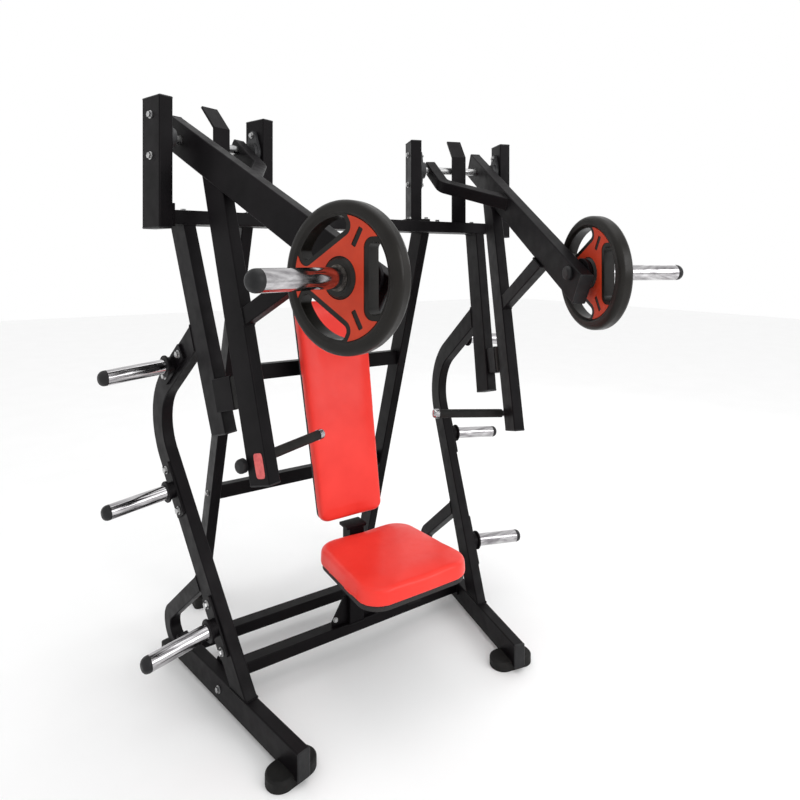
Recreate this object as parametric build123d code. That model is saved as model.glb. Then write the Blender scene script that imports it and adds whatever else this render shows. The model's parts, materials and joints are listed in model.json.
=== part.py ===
from build123d import *
import math
import os

# Plate-loaded chest press. Millimetres, +Z up, the seated user looks along -Y.
# "left" is the seated user's left hand (+X). The left half is built and mirrored about YZ.

# --- whole machine ---
SHIFT_Y = -332.5          # moves the drawing origin to the middle of the footprint
WALL_ROUND = 4.0          # outside corner radius of the rectangular tubes
TUBE_W = 40.0             # width of the frame tubes
TUBE_D = 80.0             # depth of the frame tubes

# --- side frame: one plane, turned about Z and leaning outward ---
SIDE_YAW = 12.0
SIDE_SPLAY = 4.0
SIDE_ORIGIN = (480.1, 278.0, 0.0)
RAIL_ORIGIN = (486.7, 276.6, 0.0)
RAIL_FRONT = -280.0
RAIL_REAR = 450.0
RAIL_BOTTOM = 17.0
RAIL_TOP = 97.0
KNEE = (559.4, 910.0)
LEG_DIR = (0.5446, 0.8387)
NECK_DIR = (-0.7986, 0.6018)
KNEE_RADIUS = 200.0
COLUMN_SLOPE = 0.2836
COLUMN_FOOT = 915.0
COLUMN_DEPTH = 98.0
LOOP_CORNER = (648.5, 45.0)
LOOP_DIR = (-0.775, 0.632)
LOOP_RADIUS = 67.0
LOOP_DEPTH = 50.0
PATH_OVERRUN = 560.0      # length beyond a bend, trimmed where the tube meets its neighbour
RAIL_FLANGE_T = 6.0

# --- cross members ---
FRONT_BAR_Y = (438.0, 488.0)
REAR_BAR_Y = (653.0, 703.0)
BASE_BAR_Z = (55.0, 95.0)
BEAM_Y = (435.0, 565.0)
BEAM_Z = (1556.0, 1600.0)
BACK_LEAN = 0.33          # rearward run of the rear uprights per unit of drop
BACK_TOP = (385.0, 590.0, 1500.0)
BACK_FOOT_X = 400.0
BACK_FOOT_TOP = 36.0      # the rear uprights stand in their feet up to here
UPPER_BAR = (1005.0, 60.0)   # height of the middle and depth of the bar
LOWER_BAR = (505.0, 54.0)
BAR_W = 40.0

# --- pivot posts and arm plane ---
ARM_YAW = 19.5
PIVOT_S = 630.0
PIVOT_Z = 1820.0
POST_T = 45.0
POST_D = 96.0
POST_TOP = 1933.0
INNER_POST_V = 110.0
OUTER_POST_V = 502.6
SHAFT_R = 15.0
BEARING_FIT = 0.05
BEARING_T = 12.0
BEARING_PITCH = 62.0      # from the shaft to each flange bolt
END_PLATE_T = 8.0
FLAG_V = (290.0, 350.0)
LEVER_SLOPE = 29.4
LEVER_D = 100.0
LEVER_V = (408.0, 450.0)
PRESS_V = (400.0, 440.0)
PRESS_LEAN = 0.2548
PRESS_FRONT = (217.2, 832.5)
PRESS_DEPTH = 90.0
PRESS_BOTTOM = 815.0
BUMP_Z = 1060.0
BUMP_V = 416.0
BUMP_PAD = (40.0, 96.0, 20.0)
BUMP_GAP = 0.4

# --- weight horn and plate ---
HORN_R = 24.25
HORN_S = -150.0
HORN_Z = 1403.0
HORN_TIP = 805.0
PLATE_V = 466.0
RIGHT_PLATE_OUT = 44.0    # the right plate hangs this much further out on its horn
PLATE_R = 174.5
PLATE_RIM = 46.0
PLATE_WEB = 34.0
PLATE_HUB_R = 30.0
PLATE_HUB = 52.0
PLATE_FIT = 0.1
GRIP_CHORD = 84.0
GRIP_ARC = 138.0
GRIP_HALF = 78.0

# --- storage horns: position in the side plane and direction of the leg there ---
STORE = (
    (324.0, 1095.0, NECK_DIR),
    (384.0, 651.5, LEG_DIR),
    (141.0, 268.8, LEG_DIR),
)
STORE_PLATE = (186.0, 56.0, 8.0)
STORE_BOSS_R = 28.0
STORE_RING = (36.0, 8.0)  # radius, thickness
STORE_BOLT = 72.0
STORE_BASE = 33.0         # from the tube face to the start of the bare horn
STORE_LEN = 206.0
CAP_SKIRT = 6.0
CAP_RISE = 18.0

# --- feet: length, width, thickness ---
FRONT_FOOT = (156.0, 88.0, 30.0)
REAR_FOOT = (84.0, 150.0, 36.0)
LOOP_FOOT = (64.0, 80.0, 32.0)
FRONT_FOOT_R = -223.0
LOOP_FOOT_R = 520.0

# --- handle ---
HANDLE_TIP = (324.5, 875.0, 123.8)   # inner end: rearward, height, outward in the arm plane
HANDLE_DROP = 3.2         # degrees that the bar falls towards its outer end
HANDLE_LEN = 344.0
HANDLE_R = 12.7
GRIP_R = 15.5
GRIP_START = 22.0
GRIP_END = 272.0

# --- seat and backrest ---
SEAT_TOP = 450.0
SEAT_THICK = 52.0
SEAT_FRONT_HALF = 208.0
SEAT_REAR_HALF = 188.0
SEAT_LEN = 420.0
SEAT_TILT = 2.0
SEAT_TRAVEL = 80.0
SEAT_CORNER = 80.0
MAST = 60.0
MAST_Y = 463.0
MAST_TOP = 445.0
SLIDE_FIT = 0.3
SLEEVE_MID = 287.0
SLEEVE_LEN = 130.0
SLEEVE_WALL = 6.0
PIN_Z = 292.0
PIN_R = 6.0
PIN_FIT = 0.05
PIN_SLOT = 13.0
BACK_PAD_LEAN = 0.222
BACK_PAD_LOW = 477.0
BACK_PAD_LEN = 830.0
BACK_PAD_LOW_HALF = 131.0
BACK_PAD_TOP_HALF = 159.0
BACK_PAD_THICK = 38.0
BOARD = 14.0


def unit(vector):
    return Vector(*vector).normalized()


yaw = math.radians(SIDE_YAW)
splay = math.radians(SIDE_SPLAY)
arm_yaw = math.radians(ARM_YAW)
side_out = Vector(
    math.cos(yaw) * math.cos(splay), -math.sin(yaw) * math.cos(splay), -math.sin(splay)
)
side_back = Vector(math.sin(yaw), math.cos(yaw), 0)
SIDE = Plane(origin=SIDE_ORIGIN, x_dir=side_back, z_dir=side_out)
SIDE_MID = SIDE.offset(-TUBE_W / 2)
RAIL = Plane(origin=RAIL_ORIGIN, x_dir=side_back, z_dir=(math.cos(yaw), -math.sin(yaw), 0))
ARM_OUT = Vector(math.cos(arm_yaw), -math.sin(arm_yaw), 0)
ARM_BACK = Vector(math.sin(arm_yaw), math.cos(arm_yaw), 0)
ARM = Plane(origin=(0, 0, 0), x_dir=ARM_BACK, z_dir=ARM_OUT)
UP = Vector(0, 0, 1)


def side_pt(r, w, out=0.0):
    """A point of the side frame: rearward, upward, outward."""
    return SIDE.from_local_coords(Vector(r, w, out))


def arm_pt(s, z, v):
    """A point of the arm: rearward, height, outward."""
    return ARM.from_local_coords(Vector(s, z, v))


def biggest(shape):
    """The largest solid of a shape, so that trimmed-off ends drop away."""
    return max(shape.solids(), key=lambda solid: solid.volume)


def tube(start, end, wide_dir, wide, deep, corner=WALL_ROUND):
    """A straight rectangular tube, its width lying along wide_dir."""
    start = Vector(*start)
    end = Vector(*end)
    run = end - start
    section = Plane(origin=start, x_dir=wide_dir, z_dir=run)
    return extrude(section * RectangleRounded(wide, deep, corner), run.length)


def slab(plane, points, low, high):
    """A flat plate drawn in a plane and lying between two offsets from it."""
    face = plane.offset(low) * make_face(Polyline(*points, close=True))
    return extrude(face, high - low, dir=plane.z_dir)


def keep_side(shape, origin, away):
    """Cuts a shape at a plane and keeps what lies behind the direction away."""
    return biggest(split(shape, bisect_by=Plane(origin=origin, z_dir=away), keep=Keep.BOTTOM))


def rod(start, end, radius):
    start = Vector(*start)
    run = Vector(*end) - start
    return extrude(Plane(origin=start, z_dir=run) * Circle(radius), run.length)


def bolt(at, out, head=9.5):
    """A washer and a hexagon head standing on a face."""
    seat = Plane(origin=at, z_dir=out)
    washer = extrude(seat * Circle(head * 1.3), 2)
    hexagon = extrude(seat.offset(2) * RegularPolygon(head, 6), head * 0.75)
    return washer + hexagon


def dome(at, out, radius, straight, rise):
    """A round cap: a short straight skirt and a domed end."""
    seat = Plane(origin=at, x_dir=UP, z_dir=out)
    skirt = extrude(seat * Circle(radius), straight + rise)
    edge = skirt.faces().sort_by(Axis(at, out))[-1].edges()
    return fillet(edge, rise * 0.98)


def mirrored(shape):
    return mirror(shape, about=Plane.YZ)


def across(vector):
    """A point or direction on the other side of the middle plane."""
    return Vector(-vector.X, vector.Y, vector.Z)


def pair(shape):
    """Both halves of a left-hand shape."""
    items = shape if isinstance(shape, list) else [shape]
    return items + [mirrored(item) for item in items]


nodes = {}


def keep(name, shape):
    items = shape if isinstance(shape, list) else [shape]
    solids = []
    for item in items:
        solids.extend(item.solids())
    nodes[name] = solids


def keep_both(name, shape):
    keep("left_" + name, shape)
    items = shape if isinstance(shape, list) else [shape]
    keep("right_" + name, [mirrored(item) for item in items])


# ---------------------------------------------------------------- side frames
rail = tube(
    RAIL.from_local_coords(Vector(RAIL_FRONT, (RAIL_BOTTOM + RAIL_TOP) / 2, -TUBE_W / 2)),
    RAIL.from_local_coords(Vector(RAIL_REAR, (RAIL_BOTTOM + RAIL_TOP) / 2, -TUBE_W / 2)),
    UP,
    TUBE_D,
    TUBE_W,
)
keep("base_rails", pair(rail))


def column_front(w):
    return -1.0 + COLUMN_SLOPE * (w - COLUMN_FOOT)


column_run = math.hypot(1, COLUMN_SLOPE)
column_deep = COLUMN_DEPTH / column_run
column_mid = COLUMN_DEPTH / 2
column = tube(
    side_pt(column_front(COLUMN_FOOT) + column_mid, COLUMN_FOOT, -TUBE_W / 2),
    side_pt(column_front(1640) + column_mid, 1640, -TUBE_W / 2),
    side_out,
    TUBE_W,
    column_deep,
)
column = keep_side(column, (0, 0, BEAM_Z[0]), UP)
keep("columns", pair(column))

leg_reach = KNEE[1] / LEG_DIR[1]
leg_start = (KNEE[0] - leg_reach * LEG_DIR[0], 0)
neck_end = (KNEE[0] + PATH_OVERRUN * NECK_DIR[0], KNEE[1] + PATH_OVERRUN * NECK_DIR[1])
upright_path = SIDE_MID * FilletPolyline(leg_start, KNEE, neck_end, radius=KNEE_RADIUS)
upright_section = Plane(origin=upright_path @ 0, x_dir=side_out, z_dir=upright_path % 0)
side_upright = sweep(upright_section * RectangleRounded(TUBE_W, TUBE_D, WALL_ROUND), path=upright_path)
side_upright = keep_side(side_upright, (0, 0, RAIL_TOP), -UP)
column_normal = SIDE.from_local_coords(Vector(1, -COLUMN_SLOPE, 0)) - SIDE.origin
side_upright = keep_side(side_upright, side_pt(column_front(1000) + COLUMN_DEPTH, 1000), -column_normal)
keep_both("side_upright", side_upright)

loop_start = (RAIL_REAR + 0.1, LOOP_CORNER[1])
loop_end = (LOOP_CORNER[0] + PATH_OVERRUN * LOOP_DIR[0], LOOP_CORNER[1] + PATH_OVERRUN * LOOP_DIR[1])
loop_path = SIDE_MID * FilletPolyline(loop_start, LOOP_CORNER, loop_end, radius=LOOP_RADIUS)
loop_section = Plane(origin=loop_path @ 0, x_dir=side_out, z_dir=loop_path % 0)
rear_loop = sweep(loop_section * RectangleRounded(TUBE_W, LOOP_DEPTH, WALL_ROUND), path=loop_path)
leg_normal = SIDE.from_local_coords(Vector(LEG_DIR[1], -LEG_DIR[0], 0)) - SIDE.origin
leg_rear = side_pt(
    KNEE[0] - 500 * LEG_DIR[0] + TUBE_D / 2 * LEG_DIR[1], KNEE[1] - 500 * LEG_DIR[1] - TUBE_D / 2 * LEG_DIR[0]
)
rear_loop = keep_side(rear_loop, leg_rear, -leg_normal)
keep_both("rear_loop", rear_loop)

# ---------------------------------------------------------------- cross members


def base_bar(depths):
    middle = sum(depths) / 2
    height = sum(BASE_BAR_Z) / 2
    wide = depths[1] - depths[0]
    high = BASE_BAR_Z[1] - BASE_BAR_Z[0]
    blank = tube((-620, middle, height), (620, middle, height), (0, 1, 0), wide, high)
    inner = RAIL.from_local_coords(Vector(0, 0, -TUBE_W))
    blank = keep_side(blank, inner, RAIL.z_dir)
    return keep_side(blank, across(inner), across(RAIL.z_dir))


keep("front_base_crossbar", base_bar(FRONT_BAR_Y))
keep("rear_base_crossbar", base_bar(REAR_BAR_Y))

post_inner = ARM.from_local_coords(Vector(0, 0, OUTER_POST_V - END_PLATE_T))
beam_mid_y = sum(BEAM_Y) / 2
beam_mid_z = sum(BEAM_Z) / 2
beam = tube(
    (-800, beam_mid_y, beam_mid_z),
    (800, beam_mid_y, beam_mid_z),
    (0, 1, 0),
    BEAM_Y[1] - BEAM_Y[0],
    BEAM_Z[1] - BEAM_Z[0],
)
beam = keep_side(beam, post_inner, ARM_OUT)
beam = keep_side(beam, across(post_inner), across(ARM_OUT))
beam_corner = arm_pt(692, 0, OUTER_POST_V - END_PLATE_T)
corner_out = ARM_OUT + ARM_BACK * 1.2
beam = keep_side(beam, beam_corner, corner_out)
beam = keep_side(beam, across(beam_corner), across(corner_out))
keep("top_beam", beam)

foot_y = BACK_TOP[1] + BACK_LEAN * BACK_TOP[2]
back_run = Vector(*BACK_TOP) - Vector(BACK_FOOT_X, foot_y, 0)
back_up = back_run.normalized()
rear_upright = tube(
    Vector(BACK_FOOT_X, foot_y, 0),
    Vector(*BACK_TOP) + back_up * 160,
    (1, 0, 0),
    TUBE_W,
    TUBE_D,
)
rear_upright = keep_side(rear_upright, (0, 0, BACK_FOOT_TOP), -UP)
rear_upright = keep_side(rear_upright, (0, 0, BEAM_Z[1]), UP)
rear_upright = biggest(rear_upright - Pos(0, sum(BEAM_Y) / 2 - 200, BEAM_Z[0] + 100) * Box(2000, 530, 200))
keep("rear_uprights", pair(rear_upright))


def back_x(z):
    return BACK_FOOT_X + (BACK_TOP[0] - BACK_FOOT_X) * z / BACK_TOP[2]


def back_y(z):
    return BACK_TOP[1] + BACK_LEAN * (BACK_TOP[2] - z)


def back_bar(z, high):
    half = back_x(z) + 5
    blank = tube((-half, back_y(z), z), (half, back_y(z), z), (0, 1, 0), BAR_W, high)
    return biggest(blank - rear_upright - mirrored(rear_upright))


keep("upper_back_crossbar", back_bar(*UPPER_BAR))
keep("lower_back_crossbar", back_bar(*LOWER_BAR))

# ---------------------------------------------------------------- pivot posts


def post(v_low, z_low):
    mid = v_low + POST_T / 2
    return tube(arm_pt(PIVOT_S, z_low, mid), arm_pt(PIVOT_S, POST_TOP, mid), ARM_OUT, POST_T, POST_D)


outer_post = post(OUTER_POST_V, 1543)
inner_post = post(INNER_POST_V, 1610)
keep("outer_posts", pair(outer_post))
keep("inner_posts", pair(inner_post))

end_plate = slab(
    ARM, ((584, 1544), (692, 1544), (692, 1616), (584, 1616)), OUTER_POST_V - END_PLATE_T, OUTER_POST_V
)
inner_mid = arm_pt(PIVOT_S, 0, INNER_POST_V + POST_T / 2)
foot_plane = Plane(origin=(inner_mid.X, inner_mid.Y, BEAM_Z[1]), x_dir=ARM_OUT, z_dir=UP)
base_plate = extrude(foot_plane * Pos(0, -8) * RectangleRounded(100, 148, 8), 10)

# flat bars that stand on the beam in front of the pivot shaft and bend back at the top
flag = slab(
    ARM,
    ((590, 1600), (598, 1600), (598, 1872), (664, 1948), (658, 1953), (590, 1875)),
    *FLAG_V,
)
keep("flag_plates", pair(flag))


def bearing(face_v, out):
    """A two-bolt flange unit with a raised round housing."""
    seat = Plane(origin=arm_pt(PIVOT_S, PIVOT_Z, face_v), x_dir=UP, z_dir=ARM_OUT * out)
    ends = [Pos(BEARING_PITCH * way, 0) * Circle(16) for way in (-1, 1)]
    oval = make_hull((Circle(36) + ends[0] + ends[1]).edges())
    body = extrude(seat * oval, BEARING_T) + extrude(seat * Circle(34), 2 * BEARING_T)
    return body - extrude(seat * Circle(SHAFT_R + BEARING_FIT), 40, both=True)


inner_bearing = bearing(INNER_POST_V + POST_T, 1)
outer_bearing = bearing(OUTER_POST_V, -1)
keep("bearing_housings", pair([inner_bearing, outer_bearing]))

# ---------------------------------------------------------------- storage horns
horns = []
bases = []
caps = []
bolts = []
for r, w, leg in STORE:
    leg_run = SIDE.from_local_coords(Vector(leg[0], leg[1], 0)) - SIDE.origin
    face = Plane(origin=side_pt(r, w), x_dir=leg_run, z_dir=side_out)
    plate = extrude(face * RectangleRounded(STORE_PLATE[0], STORE_PLATE[1], 6), STORE_PLATE[2])
    ring_at = STORE_BASE - STORE_RING[1]
    boss = extrude(face.offset(STORE_PLATE[2]) * Circle(STORE_BOSS_R), ring_at - STORE_PLATE[2])
    ring = extrude(face.offset(ring_at) * Circle(STORE_RING[0]), STORE_RING[1])
    bases.append(plate + boss + chamfer(ring.edges(), 1.5))
    tip = STORE_BASE + STORE_LEN
    horns.append(extrude(face.offset(STORE_BASE) * Circle(HORN_R), STORE_LEN - CAP_SKIRT - CAP_RISE))
    caps.append(dome(side_pt(r, w, tip - CAP_SKIRT - CAP_RISE), side_out, HORN_R, CAP_SKIRT, CAP_RISE))
    for along in (-STORE_BOLT, STORE_BOLT):
        bolts.append(bolt(face.from_local_coords(Vector(along, 0, STORE_PLATE[2])), side_out, 10.5))
keep("storage_horns", pair(horns))
keep("storage_horn_bases", pair(bases))

# ---------------------------------------------------------------- feet and end caps
front_foot_mid = RAIL.from_local_coords(Vector(FRONT_FOOT_R, 0, -TUBE_W / 2))
front_foot_plane = Plane(origin=(front_foot_mid.X, front_foot_mid.Y, 0), x_dir=RAIL.z_dir, z_dir=UP)
foot_blank = extrude(front_foot_plane * SlotOverall(FRONT_FOOT[0], FRONT_FOOT[1]), FRONT_FOOT[2])
foot_blank = chamfer(foot_blank.faces().sort_by(Axis.Z)[-1].edges(), 5)
front_foot = biggest(foot_blank - rail)
rear_foot_face = Pos(back_x(20), back_y(20), 0) * RectangleRounded(REAR_FOOT[0], REAR_FOOT[1], 20)
rear_foot = extrude(rear_foot_face, REAR_FOOT[2])
rear_foot = chamfer(rear_foot.faces().sort_by(Axis.Z)[-1].edges(), 3)
loop_foot_mid = RAIL.from_local_coords(Vector(LOOP_FOOT_R, 0, -TUBE_W / 2))
loop_foot_plane = Plane(origin=(loop_foot_mid.X, loop_foot_mid.Y, 0), x_dir=RAIL.z_dir, z_dir=UP)
loop_foot = extrude(loop_foot_plane * RectangleRounded(LOOP_FOOT[0], LOOP_FOOT[1], 12), LOOP_FOOT[2])
loop_foot = biggest(loop_foot - rear_loop)
keep("feet", pair([front_foot, rear_foot, loop_foot]))


def end_cap(at, out, wide_dir, wide, deep, thick=5.0):
    """A plastic plug flange that covers a tube end."""
    seat = Plane(origin=at, x_dir=wide_dir, z_dir=out)
    cap = extrude(seat * RectangleRounded(wide + 1.5, deep + 1.5, WALL_ROUND + 0.7), thick)
    top = cap.faces().sort_by(Axis(at, out))[-1]
    return chamfer(top.edges(), thick * 0.45)


rail_mid_z = (RAIL_BOTTOM + RAIL_TOP) / 2
rail_nose = RAIL.from_local_coords(Vector(RAIL_FRONT, rail_mid_z, -TUBE_W / 2))
rail_tail = RAIL.from_local_coords(Vector(RAIL_REAR, rail_mid_z, -TUBE_W / 2))
caps.append(end_cap(rail_nose, -side_back, UP, TUBE_D, TUBE_W))
caps.append(biggest(end_cap(rail_tail, side_back, UP, TUBE_D, TUBE_W, 4) - rear_loop))
column_down = (side_pt(column_front(0), 0) - side_pt(column_front(1000), 1000)).normalized()
column_end = side_pt(column_front(COLUMN_FOOT) + column_mid, COLUMN_FOOT, -TUBE_W / 2)
caps.append(end_cap(column_end, column_down, side_out, TUBE_W, column_deep))
for post_v in (INNER_POST_V, OUTER_POST_V):
    caps.append(end_cap(arm_pt(PIVOT_S, POST_TOP, post_v + POST_T / 2), UP, ARM_OUT, POST_T, POST_D))
caps.append(end_cap(arm_pt(PIVOT_S, 1543, OUTER_POST_V + POST_T / 2), -UP, ARM_OUT, POST_T, POST_D))
keep("end_caps", pair(caps))

# ---------------------------------------------------------------- arm and its plate
lever_slope = math.radians(LEVER_SLOPE)
lever_dir = ARM_BACK * -math.cos(lever_slope) - UP * math.sin(lever_slope)
lever_mid = sum(LEVER_V) / 2
lever_back = arm_pt(PIVOT_S, PIVOT_Z, lever_mid) - lever_dir * 86
lever_front = arm_pt(PIVOT_S, PIVOT_Z, lever_mid) + lever_dir * 945
shaft = rod(
    arm_pt(PIVOT_S, PIVOT_Z, INNER_POST_V + POST_T + 1), arm_pt(PIVOT_S, PIVOT_Z, OUTER_POST_V - 1), SHAFT_R
)
lever_blank = tube(lever_back, lever_front, ARM_OUT, LEVER_V[1] - LEVER_V[0], LEVER_D)
lever = lever_blank - shaft
keep_both("pivot_shaft", shaft)
keep_both("lever", lever)


def press_front(z):
    return PRESS_FRONT[0] + PRESS_LEAN * (z - PRESS_FRONT[1])


lever_up = lever_dir.cross(ARM_OUT)
if lever_up.Z < 0:
    lever_up = lever_up * -1
lever_under = arm_pt(PIVOT_S, PIVOT_Z, lever_mid) - lever_up * (LEVER_D / 2)
press_cos = 1 / math.hypot(1, PRESS_LEAN)
press_mid = sum(PRESS_V) / 2
press_low = arm_pt(press_front(PRESS_BOTTOM) + PRESS_DEPTH / 2, PRESS_BOTTOM, press_mid)
press_high = arm_pt(press_front(1900) + PRESS_DEPTH / 2, 1900, press_mid)
press = tube(press_low, press_high, ARM_OUT, PRESS_V[1] - PRESS_V[0], PRESS_DEPTH * press_cos)
press = keep_side(press, lever_under, lever_up)
handle_drop = math.radians(HANDLE_DROP)
handle_dir = ARM_OUT * math.cos(handle_drop) - UP * math.sin(handle_drop)
handle_in = arm_pt(*HANDLE_TIP)
handle_out = handle_in + handle_dir * HANDLE_LEN
handle = rod(handle_in + handle_dir * 8, handle_out - handle_dir * 12, HANDLE_R)
press = press - handle
keep_both("press_tube", press)

brace_back = arm_pt(press_front(1270) + 60, 1250, press_mid)
brace_ahead = (arm_pt(40, 1428, press_mid) - arm_pt(press_front(1270), 1272, press_mid)).normalized()
brace = tube(brace_back, brace_back + brace_ahead * 480, ARM_OUT, 36, 50)
brace = keep_side(brace, lever_under, lever_up)
press_normal = (press_high - press_low).normalized().cross(ARM_OUT)
if press_normal.dot(ARM_BACK) < 0:
    press_normal = press_normal * -1
brace = keep_side(brace, arm_pt(press_front(1270), 1270, 0), press_normal)
keep_both("arm_brace", brace)

link_points = [
    arm_pt(PIVOT_S + 26, PIVOT_Z + 20, 211),
    arm_pt(520, 1743, 226),
    arm_pt(250, 1632, 482),
]
link_path = FilletPolyline(*link_points, radius=60)
link_section = Plane(origin=link_path @ 0, x_dir=ARM_OUT, z_dir=link_path % 0)
link = sweep(link_section * RectangleRounded(42, 48, WALL_ROUND), path=link_path)
link = biggest(keep_side(link, arm_pt(0, 0, LEVER_V[0]), ARM_OUT) - shaft)
keep_both("link_tube", link)

horn = rod(arm_pt(HORN_S, HORN_Z, LEVER_V[1] + 12), arm_pt(HORN_S, HORN_Z, HORN_TIP - 25), HORN_R)
horn_flange = rod(arm_pt(HORN_S, HORN_Z, LEVER_V[1]), arm_pt(HORN_S, HORN_Z, LEVER_V[1] + 12), 45)
horn_flange = chamfer(horn_flange.edges(), 1.5)
collar = rod(arm_pt(HORN_S, HORN_Z, LEVER_V[1] + 12), arm_pt(HORN_S, HORN_Z, PLATE_V - 0.4), 33)
horn_flange = horn_flange + (collar - horn)
keep_both("weight_horn", horn)
keep_both("horn_flange", horn_flange)

grip = rod(handle_in + handle_dir * GRIP_START, handle_in + handle_dir * GRIP_END, GRIP_R)
grip = biggest(keep_side(grip, arm_pt(0, 0, PRESS_V[0] - 2), ARM_OUT) - handle)
inner_knob = dome(handle_in + handle_dir * GRIP_START, -handle_dir, GRIP_R + 1.5, 12, 12) - handle
keep_both("handle_bar", handle)
keep_both("handle_grip", grip)
keep_both("handle_collar", inner_knob)

arm_caps = [
    dome(arm_pt(HORN_S, HORN_Z, HORN_TIP - 25), ARM_OUT, HORN_R, 6, 19),
    dome(arm_pt(HORN_S, HORN_Z, LEVER_V[0]), -ARM_OUT, 22, 4, 9),
    dome(handle_out - handle_dir * 26, handle_dir, 21, 10, 12) - handle,
    end_cap(lever_front, lever_dir, ARM_OUT, LEVER_V[1] - LEVER_V[0], LEVER_D),
    end_cap(lever_back, -lever_dir, ARM_OUT, LEVER_V[1] - LEVER_V[0], LEVER_D),
    end_cap(press_low, (press_low - press_high).normalized(), ARM_OUT, 40, PRESS_DEPTH * press_cos),
]
keep_both("arm_caps", arm_caps)

horn_axis = Plane(origin=arm_pt(HORN_S, HORN_Z, PLATE_V), x_dir=UP, z_dir=ARM_OUT)


def grip_window(chord, arc, half, corner):
    """A D-shaped hand opening, its straight side towards the hub."""
    box = Pos(chord + 100, 0) * Rectangle(200, 2 * half)
    shape = Circle(arc) & box
    return fillet(shape.vertices(), corner)


mid_u = PLATE_RIM / 2
web_in = mid_u - PLATE_WEB / 2
web_out = mid_u + PLATE_WEB / 2
hub_in = mid_u - PLATE_HUB / 2 + 1
hub_out = mid_u + PLATE_HUB / 2 - 1
rim_profile = make_face(
    Polyline(
        (PLATE_HUB_R, hub_in),
        (42, hub_in),
        (48, web_in),
        (141, web_in),
        (147, 0),
        (PLATE_R, 0),
        (PLATE_R, PLATE_RIM),
        (147, PLATE_RIM),
        (141, web_out),
        (48, web_out),
        (42, hub_out),
        (PLATE_HUB_R, hub_out),
        close=True,
    )
)
outer_corners = [v for v in rim_profile.vertices() if v.X > PLATE_R - 1]
rim_profile = fillet(outer_corners, 15)
inner_corners = [v for v in rim_profile.vertices() if 146 < v.X < 148]
rim_profile = fillet(inner_corners, 6)
rubber = revolve(Plane.XZ * rim_profile, Axis.Z)
rubber = Pos(0, 0, 3) * rubber
star = Circle(141)
holes = []
for turn in (-30, 90, 210):
    holes.append(Rot(0, 0, turn) * grip_window(GRIP_CHORD, GRIP_ARC, GRIP_HALF, 14))
    star = star - Rot(0, 0, turn) * grip_window(GRIP_CHORD - 13, 160, GRIP_HALF + 12, 24)
for turn in (30, 150, 270):
    star = star - Rot(0, 0, turn) * Pos(104, 0) * RectangleRounded(46, 14, 3)
star = star - Circle(49)
star_face = max(star.faces(), key=lambda face: face.area)
web_low = 3 + web_in
web_high = 3 + web_out
for hole in holes:
    rubber = rubber - Pos(0, 0, -20) * extrude(hole, 100)
insert_low = Pos(0, 0, web_low - 1.5) * extrude(star_face, 3.5)
insert_high = Pos(0, 0, web_high - 2) * extrude(star_face, 3.5)
rubber = biggest(rubber - insert_low - insert_high)
hub = extrude(Circle(PLATE_HUB_R) - Circle(HORN_R + PLATE_FIT), PLATE_HUB)
hub = Pos(0, 0, 3 + mid_u - PLATE_HUB / 2) * hub
plate_place = Location(horn_axis)
right_shift = Pos(*(ARM_OUT * RIGHT_PLATE_OUT))
plate_pieces = {"plate_rubber": [rubber], "plate_inserts": [insert_low, insert_high], "plate_hub": [hub]}
for name, shapes in plate_pieces.items():
    placed = [plate_place * shape for shape in shapes]
    keep("left_" + name, placed)
    keep("right_" + name, [mirrored(right_shift * shape) for shape in placed])

# rubber-faced stop on the column, square to the back of the press tube
stop_at = arm_pt(press_front(BUMP_Z) + PRESS_DEPTH, BUMP_Z, BUMP_V) + press_normal * BUMP_GAP
stop_plane = Plane(origin=stop_at, x_dir=ARM_OUT, z_dir=press_normal)
bumper = extrude(stop_plane * RectangleRounded(BUMP_PAD[0], BUMP_PAD[1], 6), BUMP_PAD[2])
bumper = chamfer(bumper.faces().sort_by(Axis(stop_at, press_normal))[0].edges(), 3)
stop_face = stop_plane.offset(BUMP_PAD[2]) * RectangleRounded(BUMP_PAD[0] + 4, BUMP_PAD[1] + 4, 4)
stop_arm = extrude(stop_face, 140)
stop_arm = keep_side(stop_arm, side_pt(column_front(BUMP_Z), BUMP_Z), column_normal)
keep("bumper_pads", pair(bumper))

# ---------------------------------------------------------------- seat mast, backrest
mast = Pos(0, MAST_Y, (BASE_BAR_Z[1] + MAST_TOP) / 2) * Box(MAST, MAST, MAST_TOP - BASE_BAR_Z[1])
mast = fillet(mast.edges().filter_by(Axis.Z), WALL_ROUND)
slot_mid = PIN_Z + SEAT_TRAVEL / 2
slot = Pos(MAST / 2 - 9, MAST_Y, slot_mid) * Box(18.6, PIN_SLOT, SEAT_TRAVEL + PIN_SLOT)
mast = mast - slot
keep("seat_mast", mast)

gusset = slab(
    Plane(origin=(0, MAST_Y - 4, 0), x_dir=(1, 0, 0), z_dir=(0, -1, 0)),
    ((30, 95), (92, 95), (92, 112), (44, 190), (30, 190)),
    -4,
    4,
)
rail_flange = slab(
    RAIL,
    ((146, 50), (236, 50), (236, 97), (222, 120), (160, 120), (146, 97)),
    -TUBE_W - RAIL_FLANGE_T,
    -TUBE_W,
)
rail_flange = biggest(rail_flange - nodes["front_base_crossbar"][0] - side_upright - rail)
keep("joint_plates", pair([gusset, rail_flange, end_plate, base_plate, stop_arm]))

pad_z = unit((0, BACK_PAD_LEAN, 1))
pad_n = unit((0, -1, BACK_PAD_LEAN))
pad_at = Vector(0, 465.8 + BACK_PAD_LEAN * (BACK_PAD_LOW - 500), BACK_PAD_LOW)
PAD = Plane(origin=pad_at, x_dir=(1, 0, 0), z_dir=pad_n)


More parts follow.
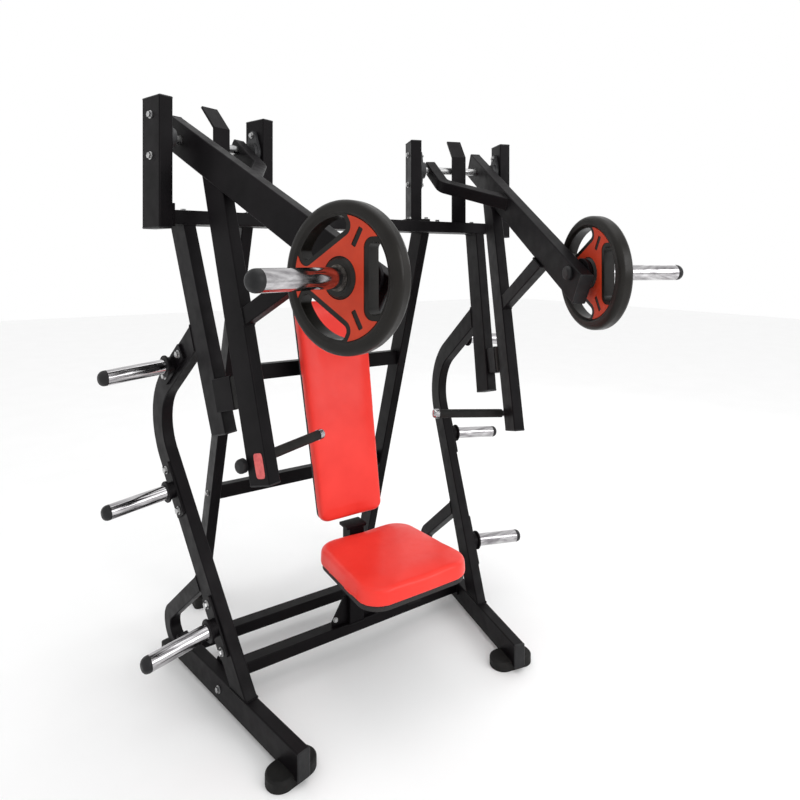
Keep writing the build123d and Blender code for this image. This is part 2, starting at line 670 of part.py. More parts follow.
def taper(low_half, high_half, length, corner, inset=0.0):
    """A long pad outline, a little wider at one end, with rounded corners."""
    outline = make_face(
        Polyline(
            (-low_half + inset, inset),
            (low_half - inset, inset),
            (high_half - inset, length - inset),
            (-high_half + inset, length - inset),
            close=True,
        )
    )
    return fillet(outline.vertices(), corner)


back_outline = taper(BACK_PAD_LOW_HALF, BACK_PAD_TOP_HALF, BACK_PAD_LEN, 34)
back_pad = extrude(PAD.offset(-BACK_PAD_THICK) * back_outline, BACK_PAD_THICK)
back_pad = fillet(back_pad.faces().sort_by(Axis(pad_at, pad_n))[-1].edges(), 9)
back_board_outline = taper(BACK_PAD_LOW_HALF, BACK_PAD_TOP_HALF, BACK_PAD_LEN, 30, 7)
back_board = extrude(PAD.offset(-BACK_PAD_THICK - BOARD) * back_board_outline, BOARD)
keep("backrest_pad", back_pad)
keep("backrest_board", back_board)

board_back = -BACK_PAD_THICK - BOARD
spine = PAD.offset(board_back - 15) * Pos(0, 360) * RectangleRounded(60, 640, 4)
spine = extrude(spine, 30, both=True)
spine = keep_side(spine, PAD.from_local_coords(Vector(0, 0, board_back)), pad_n)
spine = keep_side(spine, PAD.from_local_coords(Vector(0, 0, board_back - 30)), -pad_n)
upper_at = PAD.from_local_coords(Vector(0, 535, board_back - 30))
upper_stay = tube(
    (0, upper_at.Y - 60, UPPER_BAR[0]),
    (0, back_y(UPPER_BAR[0]) + 10, UPPER_BAR[0]),
    (1, 0, 0),
    60,
    50,
)
upper_stay = keep_side(upper_stay, (0, back_y(UPPER_BAR[0]) - BAR_W / 2, 0), Vector(0, 1, 0))
upper_stay = keep_side(upper_stay, PAD.from_local_coords(Vector(0, 0, board_back - 30)), pad_n)
saddle = Pos(0, MAST_Y + 4, MAST_TOP + 4) * Box(84, 66, 8)
saddle = fillet(saddle.edges().filter_by(Axis.Z), 5)
ledge_low = MAST_TOP + 8
ledge = slab(
    Plane(origin=(0, 0, 0), x_dir=(0, 1, 0), z_dir=(1, 0, 0)),
    ((MAST_Y - 10, ledge_low), (MAST_Y + 38, ledge_low), (700, 700), (560, 700)),
    -30,
    30,
)
ledge = keep_side(ledge, PAD.from_local_coords(Vector(0, 0, board_back)), pad_n)
ledge = biggest(ledge - spine)
ledge = keep_side(ledge, (0, 0, 560), UP)
keep("backrest_brackets", [spine, upper_stay, saddle, ledge])

# ---------------------------------------------------------------- seat carriage
seat_tilt = math.radians(SEAT_TILT)
seat_n = Vector(0, math.sin(seat_tilt), math.cos(seat_tilt))
seat_back_dir = Vector(0, math.cos(seat_tilt), -math.sin(seat_tilt))
seat_at = Vector(0, 0, SEAT_TOP + 7)
SEAT = Plane(origin=seat_at, x_dir=(1, 0, 0), z_dir=seat_n)
seat_outline = taper(SEAT_FRONT_HALF, SEAT_REAR_HALF, SEAT_LEN - 2, SEAT_CORNER)
seat_pad = extrude(SEAT.offset(-SEAT_THICK) * seat_outline, SEAT_THICK)
seat_pad = fillet(seat_pad.faces().sort_by(Axis(seat_at, seat_n))[-1].edges(), 12)
seat_board_outline = taper(SEAT_FRONT_HALF, SEAT_REAR_HALF, SEAT_LEN - 2, SEAT_CORNER - 8, 9)
seat_board = extrude(SEAT.offset(-SEAT_THICK - BOARD) * seat_board_outline, BOARD)
keep("seat_pad", seat_pad)
keep("seat_board", seat_board)

inside = MAST + 2 * SLIDE_FIT
outside = inside + 2 * SLEEVE_WALL
sleeve = Pos(0, MAST_Y, SLEEVE_MID) * Box(outside, outside, SLEEVE_LEN)
sleeve = fillet(sleeve.edges().filter_by(Axis.Z), SLEEVE_WALL)
sleeve_bore = Pos(0, MAST_Y, SLEEVE_MID) * Box(inside, inside, SLEEVE_LEN + 70)
sleeve_bore = fillet(sleeve_bore.edges().filter_by(Axis.Z), WALL_ROUND + SLIDE_FIT)
sleeve = sleeve - sleeve_bore
under = SEAT.from_local_coords(Vector(0, 0, -SEAT_THICK - BOARD))
beam_under = slab(
    Plane(origin=(0, 0, 0), x_dir=(0, 1, 0), z_dir=(1, 0, 0)),
    (
        (60, 420),
        (MAST_Y - outside / 2, 420),
        (MAST_Y - outside / 2, 228),
        (MAST_Y - outside / 2 - 36, 228),
        (120, 340),
        (60, 345),
    ),
    -25,
    25,
)
beam_under = keep_side(beam_under, under, seat_n)
wings = []
for wing_y in (110, 320):
    wing_at = SEAT.from_local_coords(Vector(0, wing_y, -SEAT_THICK - BOARD))
    wing = Plane(origin=wing_at, x_dir=(1, 0, 0), z_dir=-seat_n) * RectangleRounded(240, 40, 6)
    wings.append(extrude(wing, 6))
carriage = sleeve + beam_under + wings[0] + wings[1]
boss = rod((outside / 2 - 1, MAST_Y, PIN_Z), (outside / 2 + 24, MAST_Y, PIN_Z), 15)
pin_bore = rod((20, MAST_Y, PIN_Z), (80, MAST_Y, PIN_Z), PIN_R + PIN_FIT)
carriage = biggest((carriage + boss) - pin_bore)
keep("seat_carriage", carriage)
pin_tip = MAST / 2 - 14
pin = rod((pin_tip, MAST_Y, PIN_Z), (outside / 2 + 30, MAST_Y, PIN_Z), PIN_R)
knob = dome(Vector(outside / 2 + 24.6, MAST_Y, PIN_Z), Vector(1, 0, 0), 17, 20, 8) - pin
keep("pull_pin", pin)
keep("pull_knob", knob)

# ---------------------------------------------------------------- fasteners of the frame
for way in (-1, 1):
    for face_v, out in ((INNER_POST_V, -1), (OUTER_POST_V + POST_T, 1)):
        bolts.append(bolt(arm_pt(PIVOT_S, PIVOT_Z + BEARING_PITCH * way, face_v), ARM_OUT * out))
    for face_v, out in ((INNER_POST_V + POST_T + BEARING_T, 1), (OUTER_POST_V - BEARING_T, -1)):
        bolts.append(bolt(arm_pt(PIVOT_S, PIVOT_Z + BEARING_PITCH * way, face_v), ARM_OUT * out, 8))
    for reach in (-1, 1):
        spot = foot_plane.from_local_coords(Vector(36 * reach, -8 + 58 * way, 10))
        if spot.Y < BEAM_Y[1] - 14:
            bolts.append(bolt(spot, UP, 8))
bolts.append(bolt(RAIL.from_local_coords(Vector(149, 57, 0)), RAIL.z_dir, 9))
bolts.append(bolt(RAIL.from_local_coords(Vector(410, 57, 0)), RAIL.z_dir, 9))
bolts.append(bolt((610, 500, BEAM_Z[1]), UP, 9))
bolts.append(bolt((400, 470, BEAM_Z[1]), UP, 9))
for z in (LOWER_BAR[0], UPPER_BAR[0]):
    side_face = Vector(back_x(z) + TUBE_W / 2 + 0.16, back_y(z), z)
    bolts.append(bolt(side_face, Vector(1, 0, 0), 9))
bolts.append(bolt((80, MAST_Y - 8, 118), Vector(0, -1, 0), 7))
keep("frame_bolts", pair(bolts))

# ---------------------------------------------------------------- write
os.makedirs("parts", exist_ok=True)
for name, solids in nodes.items():
    moved = [Pos(0, SHIFT_Y, 0) * solid for solid in solids]
    whole = moved[0] if len(moved) == 1 else Compound(children=moved)
    export_step(whole, "parts/" + name + ".step")
print(len(nodes), "nodes")
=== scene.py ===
import bpy
import bmesh
import json
import math
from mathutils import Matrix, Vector


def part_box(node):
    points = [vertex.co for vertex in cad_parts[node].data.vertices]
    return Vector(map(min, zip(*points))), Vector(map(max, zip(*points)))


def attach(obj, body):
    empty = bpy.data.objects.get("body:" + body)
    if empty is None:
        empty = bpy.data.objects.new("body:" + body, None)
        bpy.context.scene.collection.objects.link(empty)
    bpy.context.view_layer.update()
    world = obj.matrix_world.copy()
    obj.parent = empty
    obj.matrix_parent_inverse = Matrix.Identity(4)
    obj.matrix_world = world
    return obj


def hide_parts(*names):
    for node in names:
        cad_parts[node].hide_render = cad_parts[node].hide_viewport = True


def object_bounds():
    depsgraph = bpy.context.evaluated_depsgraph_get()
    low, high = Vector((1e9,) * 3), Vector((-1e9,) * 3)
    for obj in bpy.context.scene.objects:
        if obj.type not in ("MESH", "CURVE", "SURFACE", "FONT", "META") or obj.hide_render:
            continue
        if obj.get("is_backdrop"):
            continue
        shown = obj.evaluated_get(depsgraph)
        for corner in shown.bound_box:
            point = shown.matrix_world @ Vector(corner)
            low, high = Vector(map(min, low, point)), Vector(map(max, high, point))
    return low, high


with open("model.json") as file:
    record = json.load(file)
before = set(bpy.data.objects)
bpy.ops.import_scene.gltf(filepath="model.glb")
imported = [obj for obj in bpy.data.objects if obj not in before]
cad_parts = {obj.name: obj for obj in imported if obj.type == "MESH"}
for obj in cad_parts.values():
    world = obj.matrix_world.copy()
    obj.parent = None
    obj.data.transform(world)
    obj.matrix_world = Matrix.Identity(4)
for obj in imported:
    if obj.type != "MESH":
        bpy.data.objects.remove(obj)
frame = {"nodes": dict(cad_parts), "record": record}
cad_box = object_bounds()
nodes = frame["nodes"]
scene = bpy.context.scene

# ------------------------------------------------------------------ materials


def new_material(name, color, rough, metal=0.0, coat=0.0, coat_rough=0.1, spec=0.5):
    mat = bpy.data.materials.new(name)
    mat.use_nodes = True
    tree = mat.node_tree
    shader = tree.nodes["Principled BSDF"]
    shader.inputs["Base Color"].default_value = (*color, 1)
    shader.inputs["Roughness"].default_value = rough
    shader.inputs["Metallic"].default_value = metal
    shader.inputs["Coat Weight"].default_value = coat
    shader.inputs["Coat Roughness"].default_value = coat_rough
    shader.inputs["Specular IOR Level"].default_value = spec
    coords = tree.nodes.new("ShaderNodeTexCoord")
    return mat, tree, shader, coords.outputs["Object"]


def noise(tree, where, scale, detail=3.0, stretch=None):
    if stretch:
        mapping = tree.nodes.new("ShaderNodeMapping")
        mapping.inputs["Scale"].default_value = stretch
        tree.links.new(where, mapping.inputs["Vector"])
        where = mapping.outputs["Vector"]
    tex = tree.nodes.new("ShaderNodeTexNoise")
    tex.inputs["Scale"].default_value = scale
    tex.inputs["Detail"].default_value = detail
    tree.links.new(where, tex.inputs["Vector"])
    return tex.outputs["Fac"]


def cells(tree, where, scale, feature="F1"):
    tex = tree.nodes.new("ShaderNodeTexVoronoi")
    tex.feature = feature
    tex.inputs["Scale"].default_value = scale
    tree.links.new(where, tex.inputs["Vector"])
    return tex.outputs["Distance"]


def remap(tree, value, low, high, from_low=0.3, from_high=0.7):
    node = tree.nodes.new("ShaderNodeMapRange")
    node.inputs["From Min"].default_value = from_low
    node.inputs["From Max"].default_value = from_high
    node.inputs["To Min"].default_value = low
    node.inputs["To Max"].default_value = high
    tree.links.new(value, node.inputs["Value"])
    return node.outputs["Result"]


def shade(tree, value, low, high, from_low=0.3, from_high=0.7):
    """A colour that moves between two tones as value does."""
    ramp = tree.nodes.new("ShaderNodeValToRGB")
    ramp.color_ramp.elements[0].position = from_low
    ramp.color_ramp.elements[0].color = (*low, 1)
    ramp.color_ramp.elements[1].position = from_high
    ramp.color_ramp.elements[1].color = (*high, 1)
    tree.links.new(value, ramp.inputs["Fac"])
    return ramp.outputs["Color"]


def bump(tree, shader, layers):
    """Stacks height layers, each (value, strength, distance in metres)."""
    last = None
    for value, strength, distance in layers:
        node = tree.nodes.new("ShaderNodeBump")
        node.inputs["Strength"].default_value = strength
        node.inputs["Distance"].default_value = distance
        tree.links.new(value, node.inputs["Height"])
        if last:
            tree.links.new(last, node.inputs["Normal"])
        last = node.outputs["Normal"]
    tree.links.new(last, shader.inputs["Normal"])


def powder_coat():
    mat, tree, shader, at = new_material("satin_black_powder_coat", (0.004, 0.003, 0.004), 0.40, spec=0.09)
    cloud = noise(tree, at, 9, 4)
    tone = shade(tree, cloud, (0.0025, 0.002, 0.0025), (0.0062, 0.0050, 0.0060))
    tree.links.new(tone, shader.inputs["Base Color"])
    tree.links.new(remap(tree, noise(tree, at, 26, 5), 0.36, 0.5), shader.inputs["Roughness"])
    grains = (noise(tree, at, 900, 2), 0.10, 0.0004)
    orange_peel = (noise(tree, at, 60, 3), 0.04, 0.0008)
    bump(tree, shader, [grains, orange_peel])
    return mat


def vinyl():
    mat, tree, shader, at = new_material(
        "red_vinyl", (0.84, 0.035, 0.024), 0.32, coat=0.06, coat_rough=0.12, spec=0.26
    )
    soft = noise(tree, at, 7, 3)
    tone = shade(tree, soft, (0.80, 0.030, 0.020), (0.88, 0.044, 0.031))
    tree.links.new(tone, shader.inputs["Base Color"])
    tree.links.new(remap(tree, noise(tree, at, 40, 4), 0.30, 0.42), shader.inputs["Roughness"])
    grain = cells(tree, at, 620, "DISTANCE_TO_EDGE")
    bump(tree, shader, [(noise(tree, at, 9, 2), 0.04, 0.002), (grain, 0.10, 0.00025)])
    return mat


def chrome():
    mat, tree, shader, at = new_material("polished_chrome", (0.45, 0.44, 0.45), 0.10, metal=1.0)
    marks = noise(tree, at, 55, 6, (0.3, 1, 1))
    tree.links.new(remap(tree, marks, 0.06, 0.20), shader.inputs["Roughness"])
    # painted reflection: the base colour runs in long dark and light streaks that stand in for reflections
    # in the chrome
    tone = shade(tree, noise(tree, at, 90, 3, (0.08, 1, 1)), (0.22, 0.21, 0.22), (0.62, 0.61, 0.62))
    tree.links.new(tone, shader.inputs["Base Color"])
    bump(tree, shader, [(noise(tree, at, 420, 4, (1, 1, 0.2)), 0.02, 0.0002)])
    return mat


def steel(name, dark, light):
    mat, tree, shader, at = new_material(name, light, 0.3, metal=1.0)
    tone = shade(tree, noise(tree, at, 90, 4), dark, light)
    tree.links.new(tone, shader.inputs["Base Color"])
    tree.links.new(remap(tree, noise(tree, at, 160, 5), 0.22, 0.42), shader.inputs["Roughness"])
    bump(tree, shader, [(noise(tree, at, 700, 3, (1, 1, 0.15)), 0.08, 0.0003)])
    return mat


def rubber(name, dark, light, rough, grain_scale, grain):
    mat, tree, shader, at = new_material(name, light, rough, spec=0.2)
    tone = shade(tree, noise(tree, at, 14, 4), dark, light)
    tree.links.new(tone, shader.inputs["Base Color"])
    patches = remap(tree, noise(tree, at, 50, 4), rough - 0.07, rough + 0.07)
    tree.links.new(patches, shader.inputs["Roughness"])
    pores = (cells(tree, at, grain_scale), grain, 0.0005)
    waves = (noise(tree, at, 90, 3), 0.06, 0.0008)
    bump(tree, shader, [pores, waves])
    return mat


def plastic():
    mat, tree, shader, at = new_material("moulded_black_plastic", (0.010, 0.010, 0.011), 0.48, spec=0.25)
    tone = shade(tree, noise(tree, at, 30, 3), (0.007, 0.007, 0.008), (0.015, 0.015, 0.016))
    tree.links.new(tone, shader.inputs["Base Color"])
    tree.links.new(remap(tree, noise(tree, at, 70, 3), 0.42, 0.56), shader.inputs["Roughness"])
    bump(tree, shader, [(cells(tree, at, 1100), 0.12, 0.0002)])
    return mat


def casting():
    mat, tree, shader, at = new_material("painted_casting", (0.03, 0.03, 0.032), 0.5, metal=0.3)
    tone = shade(tree, noise(tree, at, 45, 5), (0.018, 0.018, 0.02), (0.05, 0.05, 0.052))
    tree.links.new(tone, shader.inputs["Base Color"])
    bump(tree, shader, [(noise(tree, at, 240, 5), 0.4, 0.0008)])
    return mat


def board():
    mat, tree, shader, at = new_material("black_cloth_backing", (0.02, 0.018, 0.018), 0.85)
    wave_x = noise(tree, at, 700, 1, (1, 0.1, 1))
    wave_z = noise(tree, at, 700, 1, (0.1, 1, 0.4))
    tone = shade(tree, wave_x, (0.012, 0.011, 0.011), (0.032, 0.029, 0.029))
    tree.links.new(tone, shader.inputs["Base Color"])
    bump(tree, shader, [(wave_x, 0.3, 0.0004), (wave_z, 0.3, 0.0004)])
    return mat


def label():
    mat, tree, shader, at = new_material("plain_red_label", (0.62, 0.05, 0.05), 0.35, coat=0.3)
    tone = shade(tree, noise(tree, at, 60, 3), (0.52, 0.035, 0.04), (0.72, 0.10, 0.09))
    tree.links.new(tone, shader.inputs["Base Color"])
    bump(tree, shader, [(noise(tree, at, 300, 2), 0.05, 0.0002)])
    return mat


MATT_RUBBER = ((0.006, 0.006, 0.006), (0.014, 0.013, 0.012))
PLATE_RUBBER = ((0.006, 0.005, 0.004), (0.012, 0.0105, 0.009))
INSERT_RUBBER = ((0.44, 0.034, 0.012), (0.56, 0.050, 0.018))
looks = {
    "frame_paint": powder_coat(),
    "upholstery": vinyl(),
    "pad_board": board(),
    "chrome_tube": chrome(),
    "bright_steel": steel("zinc_plated_steel", (0.34, 0.34, 0.35), (0.58, 0.58, 0.57)),
    "black_rubber": rubber("matt_black_rubber", *MATT_RUBBER, 0.66, 900, 0.2),
    "plate_rubber": rubber("smooth_plate_rubber", *PLATE_RUBBER, 0.34, 500, 0.04),
    "plate_insert": rubber("red_plate_rubber", *INSERT_RUBBER, 0.42, 700, 0.08),
    "black_plastic": plastic(),
    "bearing_iron": casting(),
}
# the plate hubs get a dark steel of their own, as dark as the ring round each horn
hub_steel = steel("dark_hub_steel", (0.05, 0.045, 0.04), (0.13, 0.12, 0.11))
red_label = label()

for part in frame["record"]["subparts"]:
    piece = nodes[part["node"]]
    finish = looks[part["material_slot"]]
    if not piece.material_slots:
        piece.data.materials.append(finish)
    if part["node"].endswith("plate_hub"):
        finish = hub_steel
    for entry in piece.material_slots:
        entry.material = finish

# ------------------------------------------------------------------ pads

PAD_SHRINK = 0.002
PAD_CENTRE = 0.02         # points nearer the middle than this aren't drawn inwards
PAD_FLATTER = 0.97
PAD_VOXEL = 0.0055
PAD_HELD = 0.007          # depth of the edge that the board holds
EVEN_ROUNDS = 45
CLOTH_FRAMES = 20
CLOTH = {
    "quality": 5,
    "mass": 0.3,
    "tension_stiffness": 30,
    "compression_stiffness": 20,
    "shear_stiffness": 20,
    "bending_stiffness": 20,
    "use_pressure": True,
    "uniform_pressure_force": 4.0,
}


def make_object(name, mesh, finish):
    obj = bpy.data.objects.new(name, mesh)
    scene.collection.objects.link(obj)
    obj.data.materials.clear()
    obj.data.materials.append(finish)
    return obj


def only(obj):
    for other in bpy.context.selected_objects:
        other.select_set(False)
    obj.select_set(True)
    bpy.context.view_layer.objects.active = obj


def baked(obj):
    """The mesh with its modifiers, as plain positions."""
    graph = bpy.context.evaluated_depsgraph_get()
    graph.update()
    source = obj.evaluated_get(graph)
    return [v.co.copy() for v in source.data.vertices]


def evened(mesh, moves):
    """The same moves averaged over their neighbours, so that the vinyl swells without creases."""
    near = [[] for _ in mesh.vertices]
    for edge in mesh.edges:
        a, b = edge.vertices
        near[a].append(b)
        near[b].append(a)
    for _ in range(EVEN_ROUNDS):
        moves = [
            (move + sum((moves[j] for j in around), Vector())) / (len(around) + 1)
            for move, around in zip(moves, near)
        ]
    return moves


def pad_blank(name, node, normal):
    """A voxel copy of the pad solid, a little smaller, because the pad swells afterwards."""
    mesh = nodes[node].data.copy()
    low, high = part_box(node)
    middle = (low + high) / 2
    for v in mesh.vertices:
        offset = v.co - middle
        along = normal * offset.dot(normal)
        flat = offset - along
        reach = flat.length
        narrower = max(0.0, reach - PAD_SHRINK) / reach if reach > PAD_CENTRE else 1
        v.co = middle + along * PAD_FLATTER + flat * narrower
    pad = make_object(name, mesh, looks["upholstery"])
    only(pad)
    remesh = pad.modifiers.new("voxels", "REMESH")
    remesh.mode = "VOXEL"
    remesh.voxel_size = PAD_VOXEL
    remesh.use_smooth_shade = True
    bpy.ops.object.modifier_apply(modifier="voxels")
    return pad


def blow_up(pad, held, cap):
    """Inflates the pad as cloth, held along its board, and moves no point further than cap."""
    start = [v.co.copy() for v in pad.data.vertices]
    group = pad.vertex_groups.new(name="held")
    group.add(held, 1.0, "REPLACE")
    cloth = pad.modifiers.new("cloth", "CLOTH")
    for key, value in CLOTH.items():
        setattr(cloth.settings, key, value)
    cloth.settings.vertex_group_mass = "held"
    cloth.settings.effector_weights.gravity = 0
    cloth.point_cache.frame_start = 1
    cloth.point_cache.frame_end = CLOTH_FRAMES
    for step in range(1, CLOTH_FRAMES + 1):
        scene.frame_set(step)
    end = baked(pad)
    pad.modifiers.remove(cloth)
    scene.frame_set(1)
    moves = []
    for was, now in zip(start, end):
        move = now - was
        if move.length > cap:
            move = move.normalized() * cap
        moves.append(move)
    for was, move, vertex in zip(start, evened(pad.data, moves), pad.data.vertices):
        vertex.co = was + move
    pad.vertex_groups.clear()


def cushion(name, node, normal, body, cap):
    """A foam pad under tight vinyl, blown up a little from the pad solid and flat on its board."""
    normal = normal.normalized()
    pad = pad_blank(name, node, normal)
    depths = [v.co.dot(normal) for v in pad.data.vertices]
    floor_depth = min(depths)
    held = [i for i, depth in enumerate(depths) if depth < floor_depth + PAD_HELD]
    blow_up(pad, held, cap)
    smooth = pad.modifiers.new("relax", "SMOOTH")
    smooth.factor = 0.5
    smooth.iterations = 9
    bpy.ops.object.modifier_apply(modifier="relax")
    limit = floor_depth - 0.001
    for vertex in pad.data.vertices:
        depth = vertex.co.dot(normal)
        if depth < limit:
            vertex.co += normal * (limit - depth)
    finer = pad.modifiers.new("finer", "SUBSURF")
    finer.levels = 1
    finer.render_levels = 1
    bpy.ops.object.modifier_apply(modifier="finer")
    for face in pad.data.polygons:
        face.use_smooth = True
    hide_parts(node)
    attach(pad, body)


SEAT_TILT = math.radians(2)
seat_normal = Vector((0, math.sin(SEAT_TILT), math.cos(SEAT_TILT)))
back_normal = Vector((0, -1, 0.222)).normalized()
cushion("seat_cushion", "seat_pad", seat_normal, "seat", 0.008)
cushion("backrest_cushion", "backrest_pad", back_normal, "frame", 0.007)

# ------------------------------------------------------------------ welds and small hardware

UP = Vector((0, 0, 1))
ARM_YAW = math.radians(19.5)
SIDE_YAW = math.radians(12)
SIDE_SPLAY = math.radians(4)
SLOPE = math.radians(29.4)
PRESS_LEAN = 0.2548       # rearward run of the press tube per unit of rise
COLUMN_SLOPE = 0.2836
LEG_ALONG = (0.5446, 0.8387)
BEAD_RADIUS = 0.0032
THIN_BEAD = 0.0026
BEAD_STEP = 0.0028
BEAD_RIPPLE = 0.22
BEAD_TURN = 2.1           # radians of ripple from one point to the next
SAME_FACE = 0.0004        # points this near the furthest one lie on the end face


def sided(vector, side):
    return Vector((vector[0] * side, vector[1], vector[2]))


def weld_bead(name, points, radius, body):
    """A round bead along a closed ring of points, rippled like a run of weld."""
    line = bpy.data.curves.new(name, "CURVE")
    line.dimensions = "3D"
    line.bevel_depth = radius
    line.bevel_resolution = 2
    spline = line.splines.new("POLY")
    fine = []
    for i, a in enumerate(points):
        b = points[(i + 1) % len(points)]
        steps = max(1, int((b - a).length / BEAD_STEP))
        for k in range(steps):
            fine.append(a.lerp(b, k / steps))
    spline.points.add(len(fine) - 1)
    for i, p in enumerate(fine):
        spline.points[i].co = (*p, 1)
        spline.points[i].radius = 1 + BEAD_RIPPLE * math.sin(i * BEAD_TURN)
    spline.use_cyclic_u = True
    obj = bpy.data.objects.new(name, line)
    scene.collection.objects.link(obj)
    line.materials.append(looks["frame_paint"])
    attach(obj, body)


def end_ring(node, direction, side):
    """The outline of the flat end that a node has in a direction, in order round its middle."""
    direction = direction.normalized()
    spots = [v.co.copy() for v in nodes[node].data.vertices if side == 0 or v.co.x * side > 0]
    reach = max(p.dot(direction) for p in spots)
    flat = [p for p in spots if p.dot(direction) > reach - SAME_FACE]
    middle = sum(flat, Vector()) / len(flat)
    first = (flat[0] - middle).normalized()
    second = direction.cross(first)
    unique = {}
    for p in flat:
        key = (round(p.x, 4), round(p.y, 4), round(p.z, 4))
        unique[key] = p

    def turn(p):
        return math.atan2((p - middle).dot(second), (p - middle).dot(first))

    return sorted(unique.values(), key=turn)


def weld(name, node, direction, side, body, radius=BEAD_RADIUS):
    """A bead round the flat end of a node; a side of 0 takes the node whole."""
    ring = end_ring(node, direction, side)
    if len(ring) > 3:
        weld_bead(name, ring, radius, body)


for side, tag in ((1, "left"), (-1, "right")):
    out = sided((math.cos(ARM_YAW), -math.sin(ARM_YAW), 0), side)
    back = sided((math.sin(ARM_YAW), math.cos(ARM_YAW), 0), side)
    lever_up = back * -math.sin(SLOPE) + UP * math.cos(SLOPE)
    press_back = (back - UP * PRESS_LEAN).normalized()
    side_back = sided((math.sin(SIDE_YAW), math.cos(SIDE_YAW), 0), side)
    flat_out = sided((math.cos(SIDE_YAW), -math.sin(SIDE_YAW), 0), side)
    side_out = flat_out * math.cos(SIDE_SPLAY) - UP * math.sin(SIDE_SPLAY)
    side_up = side_out.cross(side_back) * side
    arm = tag + "_arm"
    weld(tag + "_weld_press_top", tag + "_press_tube", lever_up, 0, arm)
    weld(tag + "_weld_brace_top", tag + "_arm_brace", lever_up, 0, arm)
    weld(tag + "_weld_brace_low", tag + "_arm_brace", press_back, 0, arm)
    weld(tag + "_weld_link", tag + "_link_tube", out, 0, arm)
    weld(tag + "_weld_upright_foot", tag + "_side_upright", -UP, 0, "frame")
    weld(tag + "_weld_upright_neck", tag + "_side_upright", side_up * COLUMN_SLOPE - side_back, 0, "frame")
    loop_up = side_up * LEG_ALONG[0] - side_back * LEG_ALONG[1]
    weld(tag + "_weld_loop", tag + "_rear_loop", loop_up, 0, "frame")
    weld(tag + "_weld_column", "columns", UP, side, "frame")
    weld(tag + "_weld_inner_post", "inner_posts", -UP, side, "frame")
    weld(tag + "_weld_upper_bar", "upper_back_crossbar", Vector((side, 0, 0)), 0, "frame", THIN_BEAD)
    weld(tag + "_weld_lower_bar", "lower_back_crossbar", Vector((side, 0, 0)), 0, "frame", THIN_BEAD)
weld("weld_mast", "seat_mast", -UP, 0, "frame")

LABEL_HALF = (0.019, 0.035)
LABEL_SQUARE = 0.35       # the smaller, the squarer the label's rounded outline
LABEL_POINTS = 24
LABEL_RISE = 0.052        # from the tube's end to the middle of the label
LABEL_FORWARD = 0.012


def squared(value):
    return math.copysign(abs(value) ** LABEL_SQUARE, value)


def plain_label():
    """A red label with no lettering, low on the outside face of the right press tube."""
    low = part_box("right_press_tube")[0]
    face_out = sided((math.cos(ARM_YAW), -math.sin(ARM_YAW), 0), -1)
    arm_back = sided((math.sin(ARM_YAW), math.cos(ARM_YAW), 0), -1)
    spots = [v.co for v in nodes["right_press_tube"].data.vertices]
    outer = max(p.dot(face_out) for p in spots)
    bottom = [p for p in spots if p.z < low.z + 0.03]
    middle = sum(bottom, Vector()) / len(bottom)
    middle = middle + face_out * (outer - middle.dot(face_out))
    run_up = (arm_back * PRESS_LEAN + UP).normalized()
    run_back = (arm_back - UP * PRESS_LEAN).normalized()
    middle = middle + run_up * LABEL_RISE - run_back * LABEL_FORWARD
    corners = []
    for i in range(LABEL_POINTS):
        turn = 2 * math.pi * i / LABEL_POINTS
        wide = LABEL_HALF[0] * squared(math.cos(turn))
        tall = LABEL_HALF[1] * squared(math.sin(turn))
        corners.append(middle + run_back * wide + run_up * tall)
    build = bmesh.new()
    upper = [build.verts.new(p + face_out * 0.0005) for p in corners]
    lower = [build.verts.new(p + face_out * 0.00005) for p in corners]
    build.faces.new(upper)
    for i in range(LABEL_POINTS):
        following = (i + 1) % LABEL_POINTS
        build.faces.new((lower[i], lower[following], upper[following], upper[i]))
    bmesh.ops.recalc_face_normals(build, faces=build.faces)
    mesh = bpy.data.meshes.new("plain_label")
    build.to_mesh(mesh)
    build.free()
    sticker = make_object("plain_label", mesh, red_label)
    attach(sticker, "right_arm")


plain_label()

# ------------------------------------------------------------------ floor, light, camera

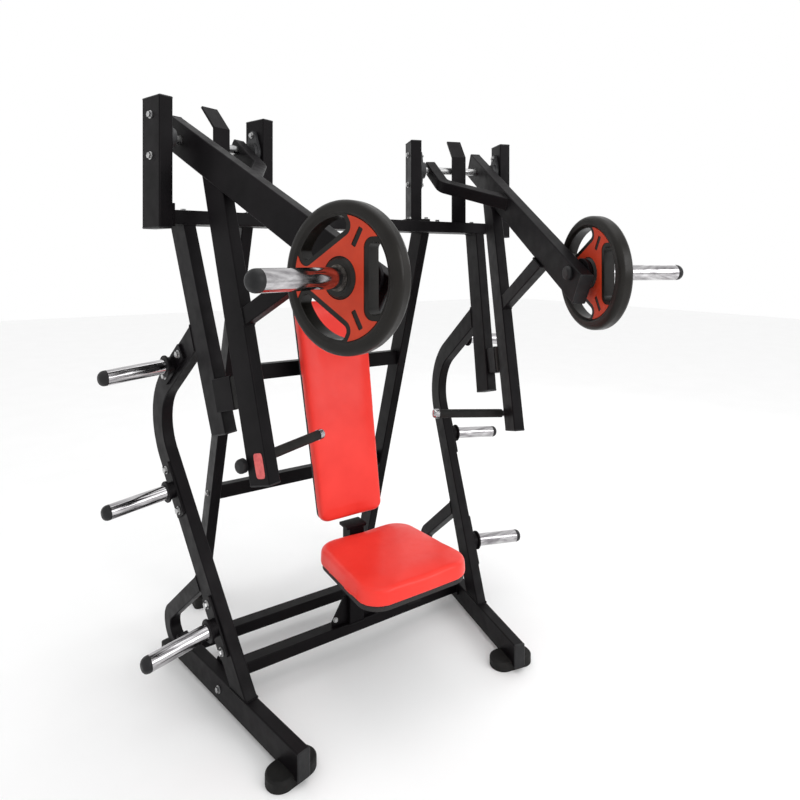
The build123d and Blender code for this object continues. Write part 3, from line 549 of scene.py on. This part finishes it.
floor_mat, floor_tree, floor_shader, floor_at = new_material("pale_floor", (0.93, 0.93, 0.93), 0.8)
clouds = noise(floor_tree, floor_at, 3, 3)
floor_tone = shade(floor_tree, clouds, (0.925, 0.925, 0.925), (0.94, 0.94, 0.94))
floor_tree.links.new(floor_tone, floor_shader.inputs["Base Color"])
floor_mesh = bpy.data.meshes.new("floor")
FLOOR = 15
floor_corners = [(-FLOOR, -FLOOR, 0), (FLOOR, -FLOOR, 0), (FLOOR, FLOOR, 0), (-FLOOR, FLOOR, 0)]
floor_mesh.from_pydata(floor_corners, [], [(0, 1, 2, 3)])
floor = make_object("floor", floor_mesh, floor_mat)
floor.location.z = -0.0005
floor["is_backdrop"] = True

world = bpy.data.worlds.new("studio")
world.use_nodes = True
world.node_tree.nodes["Background"].inputs["Color"].default_value = (1.0, 1.0, 1.0, 1)
world.node_tree.nodes["Background"].inputs["Strength"].default_value = 1.0
scene.world = world
# the default view would wash the saturated red out to pink
scene.view_settings.view_transform = "Standard"


def area(name, at, aim, size, power):
    data = bpy.data.lights.new(name, "AREA")
    data.shape = "RECTANGLE"
    data.size = size[0]
    data.size_y = size[1]
    data.energy = power
    obj = bpy.data.objects.new(name, data)
    obj.location = at
    obj.rotation_euler = (Vector(aim) - Vector(at)).to_track_quat("-Z", "Y").to_euler()
    scene.collection.objects.link(obj)


area("front_key", (1.8, -4.2, 2.6), (0, 0, 0.9), (2.4, 2.2), 60)
area("top_soft", (0.2, -0.6, 4.6), (0, 0, 0.8), (3.0, 3.0), 30)
area("right_fill", (4.2, 0.4, 2.2), (0, 0, 1.0), (2.0, 2.4), 20)

CAMERA_AT = (-1.0834, -1.8286, 1.443)
CAMERA_YAW = 33.392       # degrees to the right of +Y; the camera looks level
camera_data = bpy.data.cameras.new("camera")
camera_data.sensor_width = 36
camera_data.lens = 26.665
camera_data.shift_x = 0.0006
camera_data.shift_y = -0.17515
camera_data.clip_end = 60
camera = bpy.data.objects.new("camera", camera_data)
camera.location = CAMERA_AT
camera.rotation_euler = (math.radians(90), 0, math.radians(-CAMERA_YAW))
scene.collection.objects.link(camera)
scene.camera = camera

visual_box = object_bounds()


def plain(value):
    if isinstance(value, (int, float)):
        return float(value)
    return [plain(v) for v in value]


{"cad": plain(cad_box), "visual": plain(visual_box)}
